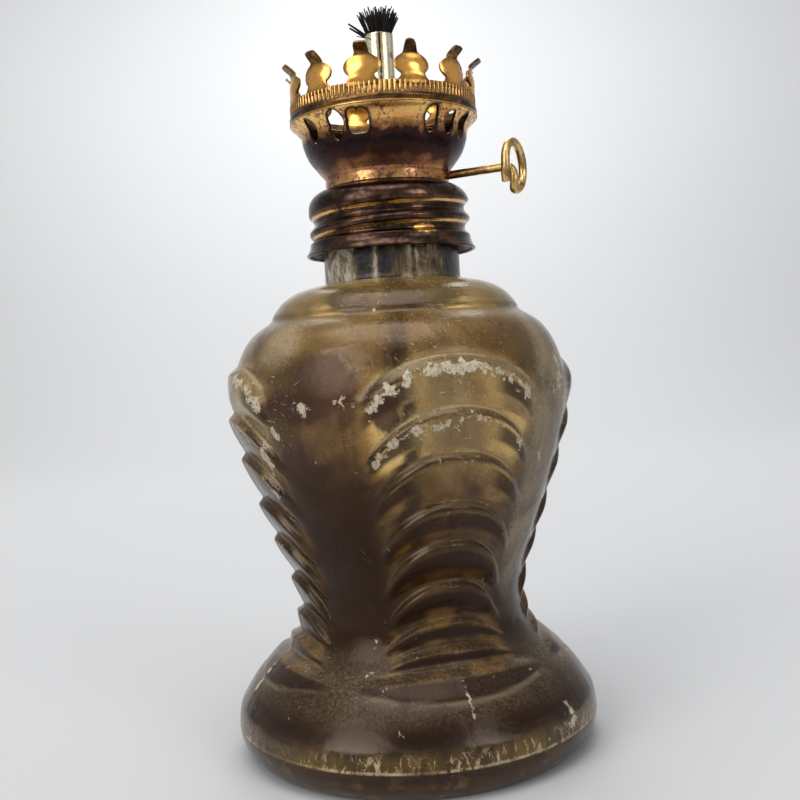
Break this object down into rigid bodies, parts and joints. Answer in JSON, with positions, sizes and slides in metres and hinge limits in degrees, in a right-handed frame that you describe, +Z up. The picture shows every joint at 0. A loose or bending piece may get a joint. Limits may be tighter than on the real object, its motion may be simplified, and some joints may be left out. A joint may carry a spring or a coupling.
{
  "type": "miniature oil lamp",
  "caption": "Miniature oil lamp: ribbed lacquered glass font, screw-on brass burner with crown gallery, round wick and side winder with a thumb ring.",
  "frame": {"origin": "centre of the font's flat underside, where the lamp stands", "axes": "+Z up along the lamp's axis, +X along the wick winder towards its thumb ring"},
  "size_m": [0.066, 0.066, 0.1332],
  "materials": {
    "lacquered_glass": "brown-amber lacquer on clear glass, dusty and scratched",
    "aged_brass": "dark oxidised brass with worn gold ridges",
    "brass": "tarnished brass, gold to copper, blackened low on the bulb",
    "nickel": "dull nickel plating",
    "cork": "pressed cork sheet",
    "cotton": "woven cotton, charred at the top"
  },
  "bodies": {
    "font": {"glass_font": "lacquered_glass"},
    "gasket": {"cap_gasket": "cork"},
    "burner": {"screw_cap": "aged_brass", "burner_deck": "brass", "burner_shell": "brass", "crown_gallery": "brass", "wick_tube": "nickel", "winder_bracket": "brass"},
    "winder": {"winder_spindle": "brass", "spur_wheel": "brass"},
    "wick": {"wick": "cotton"}
  },
  "joints": [
    {"name": "burner_rise", "type": "slide", "parent": "font", "child": "gasket", "axis": [0, 0, 1], "range_m": [0, 0.007]},
    {"name": "burner_unscrew", "type": "hinge", "parent": "gasket", "child": "burner", "pos_m": [0, 0, 0], "axis": [0, 0, 1], "range_deg": [0, 720]},
    {"name": "winder_turn", "type": "hinge", "parent": "burner", "child": "winder", "pos_m": [0, 0.0039, 0.1027], "axis": [-1, 0, 0], "range_deg": [0, 229.2]},
    {"name": "wick_rise", "type": "slide", "parent": "burner", "child": "wick", "axis": [0, 0, 1], "range_m": [0, 0.008]}
  ],
  "couplings": [
    {"joint": "burner_unscrew", "follows": "burner_rise", "rad_per_m": 1795.2},
    {"joint": "winder_turn", "follows": "wick_rise", "rad_per_m": 500}
  ]
}
